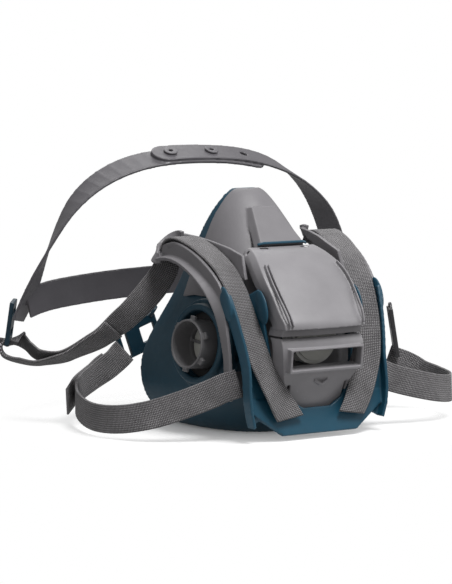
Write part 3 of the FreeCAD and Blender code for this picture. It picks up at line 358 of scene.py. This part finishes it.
def band_mesh(name, route, width, thick, cut=None, rounding=0.5):
    """A flat strap swept along a route of (point, across) pairs in mask millimetres, with strap UVs.

    cut is the direction of its first end's cut edge, where that isn't square to the strap.
    """
    points = [Vector(point) for point, across in route]
    length = sum((after - before).length for before, after in zip(points, points[1:]))
    count = max(12, int(length / BAND_STEP))
    even, true_length = spline_points(points, count)
    section = band_section(width, thick, rounding)
    work = bmesh.new()
    uv_layer = work.loops.layers.uv.new("strap")
    rings = []
    for index, (centre, along_route) in enumerate(even):
        span = min(int(along_route), len(route) - 2)
        share = along_route - span
        share = share * share * (3 - 2 * share)
        across = Vector(route[span][1]) * (1 - share) + Vector(route[span + 1][1]) * share
        before, after = even[max(index - 1, 0)][0], even[min(index + 1, count)][0]
        along = (after - before).normalized()
        across = (across - along * across.dot(along)).normalized()
        face = across.cross(along)
        edge = across
        if cut is not None:
            slant = Vector(cut)
            slope = max(0.0, 1.0 - index / count * true_length / CUT_REACH)
            edge = across.lerp(slant / slant.dot(across), slope)
        ring = [work.verts.new(place(centre + edge * side + face * up)) for side, up in section]
        rings.append(ring)
    size = len(section)
    for index in range(count):
        here, after = rings[index], rings[index + 1]
        low, high = true_length * index / count * MM, true_length * (index + 1) / count * MM
        for part in range(size):
            nearby = (part + 1) % size
            face = work.faces.new((here[part], here[nearby], after[nearby], after[part]))
            sides = (section[part][0] * MM, section[nearby][0] * MM)
            corners = ((low, sides[0]), (low, sides[1]), (high, sides[1]), (high, sides[0]))
            for loop, corner in zip(face.loops, corners):
                loop[uv_layer].uv = corner
    for ring in (rings[0], list(reversed(rings[-1]))):
        work.faces.new(list(reversed(ring)))
    bmesh.ops.recalc_face_normals(work, faces=work.faces)
    mesh = bpy.data.meshes.new(name)
    work.to_mesh(mesh)
    work.free()
    return mesh, true_length


# ---------------------------------------------------------------- the object

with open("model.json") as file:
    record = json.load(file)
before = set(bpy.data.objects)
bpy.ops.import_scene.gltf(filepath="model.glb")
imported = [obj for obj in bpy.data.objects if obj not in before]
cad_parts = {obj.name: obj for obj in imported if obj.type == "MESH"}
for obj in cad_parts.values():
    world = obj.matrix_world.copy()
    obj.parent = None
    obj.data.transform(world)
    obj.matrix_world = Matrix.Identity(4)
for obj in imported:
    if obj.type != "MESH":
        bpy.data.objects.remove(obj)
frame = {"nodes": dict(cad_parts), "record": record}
cad_low, cad_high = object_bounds()

TEAL = srgb(16, 58, 75)
TEAL_LIGHT = srgb(20, 68, 88)
TEAL_DARK = srgb(10, 42, 56)
GREY = srgb(112, 110, 113)
GREY_COVER = srgb(130, 128, 131)
GREY_DARK = srgb(84, 82, 86)
GREY_PORT = srgb(108, 107, 109)

seal_rubber = moulded("seal_rubber_teal", TEAL, 0.5, 0.35, 0.15)
shell_plastic = moulded("shell_plastic_grey", GREY, 0.5)
cover_plastic = moulded("cover_plastic_grey", GREY_COVER, 0.42)
arm_plastic = moulded("arm_plastic_grey", GREY, 0.45)
yoke_plastic = moulded("yoke_plastic_teal", TEAL_LIGHT, 0.42, 0.2, 0.3)
cradle_plastic = moulded("cradle_plastic_grey", GREY_DARK, 0.42, 0.15, 0.3)
clip_plastic = moulded("clip_plastic_teal", TEAL_DARK, 0.4, 0.2, 0.4)
port_plastic = moulded("port_plastic_grey", GREY_PORT, 0.45, 0.2, 0.45)
stud_plastic = moulded("stud_plastic_grey", srgb(88, 86, 90), 0.4)
valve_plastic = moulded("valve_plastic_pale", srgb(196, 196, 192), 0.5, 0.1, 0.1)
flap_rubber = moulded("flap_rubber_pale", srgb(186, 186, 180), 0.4, 0.1, 0.0)
clip_dark = moulded("clip_plastic_black", srgb(58, 57, 59), 0.32, 0.15, 0.5)
# Near-black painted shade for the ports' recesses, put on the gaskets and flanges that lie in their shadow.
recess_shade_paint = moulded("recess_rubber_black", srgb(22, 23, 24), 0.6, 0.3, 0.0)
pin_metal = metal("pin_steel", srgb(190, 190, 192))
webbing = knitted("webbing_knit_grey", srgb(42, 40, 43), srgb(214, 211, 213))

# Webbing in millimetres. A slanted foot cut fades into a square strap over CUT_REACH.
STRAP_WIDTH = 16.5
STRAP_THICK = 1.4
FOOT_CUT = (1.0, 0.0, 0.16)
CUT_REACH = 16.0
BAND_STEP = 1.2

# Strap routes: (point, width direction).
UPPER_FRONT_ROUTE = [
    ((-21.2, -67.2, 10.5), (1.0, 0.0, -0.2)),
    ((-26.2, -66.2, 19.0), (1.0, 0.0, -0.4)),
    ((-32.4, -63.4, 32.0), (1.0, 0.05, -0.35)),
    ((-37.4, -59.8, 45.0), (1.0, 0.12, -0.2)),
    ((-40.0, -55.2, 59.0), (1.0, 0.2, -0.1)),
    ((-41.6, -50.0, 71.0), (1.0, 0.25, 0.0)),
    ((-42.9, -43.0, 83.5), (1.0, 0.25, 0.0)),
    ((-44.4, -32.6, 95.0), (1.0, 0.2, 0.0)),
    ((-46.6, -18.0, 103.8), (1.0, 0.15, 0.0)),
    ((-48.6, -4.0, 109.0), (1.0, 0.1, 0.0)),
    ((-49.8, 6.0, 110.0), (1.0, 0.1, 0.0)),
    ((-50.4, 12.6, 107.2), (1.0, 0.1, 0.0)),
    ((-51.0, 16.4, 102.0), (1.0, 0.1, 0.1)),
]
UPPER_BACK_RIGHT_ROUTE = [
    ((51.8, 17.6, 97.0), (-1.0, 0.0, -0.2)),
    ((54.4, 19.4, 89.0), (-0.95, -0.2, -0.4)),
    ((62.0, 29.0, 76.0), (-0.8, 0.3, -0.5)),
    ((73.0, 43.0, 62.6), (-0.7, 0.5, -0.5)),
    ((86.0, 59.0, 49.6), (-0.6, 0.6, -0.5)),
    ((99.0, 74.0, 39.5), (-0.55, 0.75, -0.3)),
    ((110.5, 85.0, 35.0), (-0.5, 0.85, -0.1)),
    ((119.5, 91.0, 36.0), (-0.53, 0.85, 0.0)),
    ((127.0, 91.6, 40.2), (-0.53, 0.85, 0.0)),
    ((128.4, 89.8, 47.0), (-0.53, 0.85, 0.0)),
]
LOWER_LEFT_ROUTE = [
    ((-48.0, -55.0, 31.4), (0.0, 0.0, 1.0)),
    ((-55.0, -50.4, 28.6), (0.05, 0.0, 1.0)),
    ((-62.0, -46.4, 25.0), (0.1, 0.0, 1.0)),
    ((-76.0, -37.6, 18.6), (0.15, 0.05, 1.0)),
    ((-90.0, -27.0, 13.0), (0.1, 0.1, 1.0)),
    ((-101.0, -11.0, 9.2), (0.0, 0.1, 1.0)),
    ((-106.0, 8.0, 8.2), (0.0, 0.0, 1.0)),
    ((-104.0, 28.0, 9.6), (0.0, 0.0, 1.0)),
    ((-97.0, 48.0, 12.6), (0.0, 0.0, 1.0)),
    ((-85.0, 65.0, 16.6), (0.0, 0.0, 1.0)),
    ((-70.0, 73.5, 22.0), (0.0, 0.0, 1.0)),
    ((-57.0, 74.6, 29.0), (0.2, 0.0, 1.0)),
    ((-49.0, 74.2, 36.0), (0.5, 0.0, 1.0)),
]
LOWER_RIGHT_ROUTE = [
    ((48.0, -55.0, 31.4), (0.0, 0.0, 1.0)),
    ((55.0, -52.4, 28.4), (-0.05, 0.0, 1.0)),
    ((62.0, -52.0, 25.6), (-0.1, 0.0, 1.0)),
    ((77.0, -54.0, 21.4), (-0.1, 0.05, 1.0)),
    ((94.0, -53.0, 17.6), (-0.05, 0.1, 1.0)),
    ((107.5, -46.5, 15.8), (0.0, 0.1, 1.0)),
    ((115.5, -35.5, 16.0), (0.0, 0.0, 1.0)),
    ((117.0, -22.0, 17.8), (-0.1, 0.0, 1.0)),
    ((112.5, -10.5, 20.6), (-0.15, 0.1, 1.0)),
    ((105.2, -4.6, 25.4), (-0.2, 0.2, 1.0)),
    ((95.0, 0.6, 29.6), (-0.25, 0.2, 1.0)),
]

# The loaded layer of the left upper strap rises in an S to the slider, and its loose end comes back
# outside it and lies along it.
UPPER_BACK_LEFT_LOADED_ROUTE = [
    ((-51.6, 17.4, 97.5), (1.0, 0.0, -0.2)),
    ((-54.0, 18.5, 89.0), (0.95, -0.2, -0.4)),
    ((-62.4, 21.0, 77.0), (0.75, -0.3, -0.6)),
    ((-75.0, 27.0, 62.6), (0.62, 0.05, -0.72)),
    ((-85.8, 39.6, 49.9), (0.6, 0.55, -0.6)),
    ((-99.1, 55.8, 39.4), (0.5, 0.75, -0.4)),
    ((-106.5, 67.0, 37.4), (0.45, 0.75, -0.45)),
    ((-110.6, 77.0, 40.0), (0.4, 0.7, -0.6)),
    ((-112.6, 83.0, 44.2), (0.4, 0.65, -0.65)),
    ((-116.0, 85.0, 46.0), (0.45, 0.7, -0.5)),
    ((-121.0, 83.0, 46.6), (0.5, 0.8, -0.3)),
    ((-126.4, 80.4, 47.0), (0.53, 0.85, 0.0)),
]
UPPER_BACK_LEFT_LOOSE_ROUTE = [
    ((-128.0, 79.0, 47.4), (0.53, 0.85, 0.0)),
    ((-130.4, 79.4, 43.0), (0.5, 0.85, -0.1)),
    ((-127.4, 79.6, 38.0), (0.5, 0.8, -0.3)),
    ((-119.5, 78.6, 34.4), (0.5, 0.8, -0.3)),
    ((-110.5, 69.4, 33.2), (0.5, 0.8, -0.25)),
    ((-100.2, 53.6, 38.0), (0.5, 0.75, -0.4)),
    ((-87.0, 37.0, 49.0), (0.6, 0.5, -0.6)),
    ((-80.8, 31.2, 55.4), (0.62, 0.3, -0.7)),
]
LOWER_LEFT_LOOSE_ROUTE = [
    ((-60.0, 76.4, 28.0), (0.1, 0.0, 1.0)),
    ((-70.0, 75.4, 22.4), (0.0, 0.0, 1.0)),
    ((-85.6, 67.4, 16.6), (0.0, 0.0, 1.0)),
    ((-94.0, 60.6, 12.6), (0.0, 0.0, 1.0)),
    ((-99.6, 54.4, 11.0), (0.0, 0.0, 1.0)),
]

# Front corner line of the latch cover: height, depth, half-width.
COVER_RIB = [
    (63.6, -73.2, 26.6), (70.0, -70.2, 27.4), (78.0, -64.0, 27.9), (86.0, -57.3, 28.2), (92.0, -51.5, 27.6),
    (96.6, -45.8, 26.2),
]
RIB_INSETS = ((-1, 1.4), (-1, 3.6), (1, 1.4))
RIB_WIDTH = 1.1
RIB_THICK = 2.2

# Teal line along the foot of the nose panel.
NOSE_LINE_WIDTH = 1.5
NOSE_LINE_THICK = 1.2
NOSE_LINE_ROUTE = [
    ((-16.8, -25.2, 106.2), (0.7, 0.0, 0.7)),
    ((-15.0, -26.2, 107.0), (0.3, 0.0, 1.0)),
    ((-13.0, -26.4, 107.2), (0.0, 0.3, 1.0)),
    ((13.0, -26.4, 107.2), (0.0, 0.3, 1.0)),
    ((15.0, -26.2, 107.0), (-0.3, 0.0, 1.0)),
    ((16.8, -25.2, 106.2), (-0.7, 0.0, 0.7)),
]

# Tips of the yoke's flanges: centres and radii in millimetres.
OUTER_TAB = (52.6, -47.6, 76.0)
INNER_TAB = (32.7, -54.6, 73.6)
TAB_RADII = (1.4, 5.6, 10.5)
TAB_LEAN = math.radians(-24.0)

# Port details in metres: where the painted shade on its flange starts, and the seal's beads as
# (distance behind the rim, radius, bead radius, bead depth over its width).
SHADED_FLANGE_DEPTH = 0.0085
SHADED_FLANGE_REACH = 0.0150
PORT_BEADS = ((0.0086, 0.0214, 0.0023, 0.9), (0.0140, 0.0256, 0.0011, 2.2))

# Eyes of the neck clips, metres. Each ring holds the clip's length and this level direction in its plane.
EYE_LEVEL = (0.53, 0.85, 0.0)
EYE_TIP = 0.003
EYE_RADIUS = 0.0032
EYE_BEAD = 0.0011


def mirrored(route):
    return [((-point[0], *point[1:]), (-across[0], *across[1:])) for point, across in route]


def make_strap(name, route, node, cut=None):
    mesh, length = band_mesh(name, route, STRAP_WIDTH, STRAP_THICK, cut)
    strap = new_object(name, mesh)
    finish_mesh(strap, webbing)
    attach(strap, "mask")
    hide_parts(node)


def port_axis(side):
    """Outward direction and rim centre of a port, from its mount in the record."""
    mount = next(m for m in frame["record"]["mounts"] if m["name"] == "filter_port_" + SIDE_WORD[side])
    return Vector(mount["axis"]).normalized(), Vector(mount["pos_m"])


def make_seal():
    beads = []
    for side in SIDES:
        axis, rim = port_axis(side)
        for behind, major, minor, squash in PORT_BEADS:
            beads.append(ring_mesh(rim - axis * behind, axis, major, minor, squash))
    mould("face_seal", VOXEL_SOFT, 6, seal_rubber, extras=beads)


def cover_ribs():
    """Raised lines of the front panel: one along each front corner and a second one inside the left one."""
    ribs = []
    for side, inset in RIB_INSETS:
        route = []
        for height, depth, half in COVER_RIB:
            route.append(((side * (half - inset), depth, height), (1.0, 0.0, 0.0)))
        ribs.append(band_mesh("cover_rib", route, RIB_WIDTH, RIB_THICK, rounding=0.4)[0])
    return ribs


def yoke_tabs():
    """Rounded tips of the four flanges that keep the upper straps in their channels."""
    tabs = []
    for side in SIDES:
        for centre in (OUTER_TAB, INNER_TAB):
            work = bmesh.new()
            bmesh.ops.create_uvsphere(work, u_segments=32, v_segments=24, radius=1.0)
            lean = Matrix.Rotation(TAB_LEAN, 4, "X")
            shape = Matrix.Diagonal((*(Vector(TAB_RADII) * MM), 1.0))
            where = Matrix.Translation(place((side * centre[0], centre[1], centre[2])))
            bmesh.ops.transform(work, matrix=where @ lean @ shape, verts=work.verts)
            mesh = bpy.data.meshes.new("yoke_tab")
            work.to_mesh(mesh)
            work.free()
            tabs.append(mesh)
    return tabs


def paint_flange_shade(port, side):
    """The flange at the bottom of the port's recess is painted black, as painted shade for the recess's
    shadow.
    """
    axis, rim = port_axis(side)
    port.data.materials.append(recess_shade_paint)
    for face in port.data.polygons:
        offset = face.center - rim
        depth = -offset.dot(axis)
        reach = (offset + axis * depth).length
        if depth > SHADED_FLANGE_DEPTH and reach > SHADED_FLANGE_REACH:
            face.material_index = 1


def clip_eye(node):
    """Round eye on top of a neck clip."""
    points = [vertex.co for vertex in frame["nodes"][node].data.vertices]
    top = max(point.z for point in points)
    tip = [point for point in points if point.z > top - EYE_TIP]
    centre = sum(tip, Vector()) / len(tip)
    spread = sum((point - centre for point in points), Vector()).normalized()
    return ring_mesh(centre, spread.cross(Vector(EYE_LEVEL)).normalized(), EYE_RADIUS, EYE_BEAD)


def nose_line():
    """Thin teal line along the foot of the nose panel, in the yoke's colour."""
    mesh = band_mesh("nose_line", NOSE_LINE_ROUTE, NOSE_LINE_WIDTH, NOSE_LINE_THICK, rounding=0.4)[0]
    line = new_object("nose_line", mesh)
    finish_mesh(line, yoke_plastic)
    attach(line, "mask")


def make_rigid():
    mould("front_shell", VOXEL_SHELL, 3, shell_plastic)
    mould("latch_cover", VOXEL_FINE, 4, cover_plastic, "cover", cover_ribs())
    mould("exhaust_housing", VOXEL_FINE, 3, cover_plastic)
    mould("yoke", VOXEL_SHELL, 6, yoke_plastic, extras=yoke_tabs())
    mould("head_cradle", VOXEL_SHELL, 3, cradle_plastic)
    for side in SIDES:
        word = SIDE_WORD[side]
        mould("guide_arm_" + word, VOXEL_FINE, 3, arm_plastic)
        port = mould("inhalation_port_" + word, VOXEL_FINE, 2, port_plastic)
        # The deep outer faces of the port's flange get the black painted shade of its recess.
        paint_flange_shade(port, side)
        mould("cradle_slider_" + word, VOXEL_FINE, 2, clip_plastic)
        # The gasket sits in the port's shaded recess and gets the black painted shade.
        paint("port_gasket_" + word, recess_shade_paint)
        paint("port_retaining_ring_" + word, valve_plastic)
        paint("inhalation_flap_" + word, flap_rubber)
    mould("neck_clip_left", VOXEL_FINE, 2, clip_plastic, extras=[clip_eye("neck_clip_left")])
    mould("neck_clip_right", VOXEL_FINE, 2, clip_dark, extras=[clip_eye("neck_clip_right")])
    mould("crown_studs", VOXEL_STUD, 2, stud_plastic)
    paint("latch_hinge_pin", pin_metal)
    paint("exhalation_valve_seat", valve_plastic)
    paint("exhalation_flap", flap_rubber)


def paint(node, material):
    """Gives a CAD node that stays in view its finished material."""
    piece = frame["nodes"][node]
    piece.data.materials.clear()
    piece.data.materials.append(material)


def make_straps():
    make_strap("upper_strap_left_front", UPPER_FRONT_ROUTE, "upper_strap_left", FOOT_CUT)
    make_strap("upper_strap_left_back", UPPER_BACK_LEFT_LOADED_ROUTE, "upper_strap_left")
    make_strap("upper_strap_left_loose_end", UPPER_BACK_LEFT_LOOSE_ROUTE, "upper_strap_left")
    foot_cut = (-FOOT_CUT[0], *FOOT_CUT[1:])
    make_strap("upper_strap_right_front", mirrored(UPPER_FRONT_ROUTE), "upper_strap_right", foot_cut)
    make_strap("upper_strap_right_back", UPPER_BACK_RIGHT_ROUTE, "upper_strap_right")
    make_strap("lower_strap_left_run", LOWER_LEFT_ROUTE, "lower_strap_left")
    make_strap("lower_strap_left_loose_end", LOWER_LEFT_LOOSE_ROUTE, "lower_strap_left")
    make_strap("lower_strap_right_run", LOWER_RIGHT_ROUTE, "lower_strap_right")


# ---------------------------------------------------------------- floor, light and camera

AIM = place((0.0, 36.0, 72.5))
VIEW_AZIMUTH = math.radians(-32.0)
VIEW_ELEVATION = math.radians(6.0)
VIEW_DISTANCE = 1.5
VIEW_LENS = 152.57
AMBIENT = 0.34
# Radii in metres between which the floor fades out.
FLOOR_SOLID = 0.03
FLOOR_CLEAR = 0.15
# Name, azimuth and elevation in degrees, distance and size in metres, power in watts.
LIGHTS = (
    ("key", 8, 62, 1.2, 0.5, 15.0),
    ("side", 70, 20, 1.3, 0.6, 4.5),
    ("fill", -80, 25, 1.4, 0.9, 1.2),
    ("back", 160, 45, 1.3, 0.8, 5.0),
)


def toward(azimuth, elevation):
    """Direction from the object to a place seen at these angles, in radians."""
    level = math.cos(elevation)
    return Vector((math.sin(azimuth) * level, -math.cos(azimuth) * level, math.sin(elevation)))


def make_camera():
    data = bpy.data.cameras.new("camera")
    data.lens = VIEW_LENS
    data.clip_start = 0.05
    camera = bpy.data.objects.new("camera", data)
    bpy.context.scene.collection.objects.link(camera)
    back = toward(VIEW_AZIMUTH, VIEW_ELEVATION)
    camera.location = AIM + back * VIEW_DISTANCE
    camera.rotation_euler = back.to_track_quat("Z", "Y").to_euler()
    bpy.context.scene.camera = camera


def area_light(name, azimuth, elevation, distance, size, power):
    data = bpy.data.lights.new(name, "AREA")
    data.shape = "DISK"
    data.size = size
    data.energy = power
    light = bpy.data.objects.new(name, data)
    bpy.context.scene.collection.objects.link(light)
    back = toward(math.radians(azimuth), math.radians(elevation))
    light.location = AIM + back * distance
    light.rotation_euler = back.to_track_quat("Z", "Y").to_euler()


def make_light():
    """Soft studio light on the object, with white paper behind it for the camera."""
    world = bpy.data.worlds.new("studio")
    bpy.context.scene.world = world
    world.use_nodes = True
    nodes, links = world.node_tree.nodes, world.node_tree.links
    background = nodes["Background"]
    background.inputs["Color"].default_value = (1, 1, 1, 1)
    strength = nodes.new("ShaderNodeMapRange")
    strength.inputs["To Min"].default_value = AMBIENT
    strength.inputs["To Max"].default_value = 1.0
    links.new(nodes.new("ShaderNodeLightPath").outputs["Is Camera Ray"], strength.inputs["Value"])
    links.new(strength.outputs["Result"], background.inputs["Strength"])
    for light in LIGHTS:
        area_light(*light)
    bpy.context.scene.view_settings.view_transform = "Standard"


def make_floor():
    work = bmesh.new()
    bmesh.ops.create_grid(work, x_segments=4, y_segments=4, size=3.0)
    mesh = bpy.data.meshes.new("floor")
    work.to_mesh(mesh)
    work.free()
    floor = new_object("floor", mesh)
    floor.location.z = cad_low.z - 0.0002
    finish_mesh(floor, pale_floor())


make_camera()
make_light()
make_floor()
make_seal()
make_rigid()
nose_line()
make_straps()
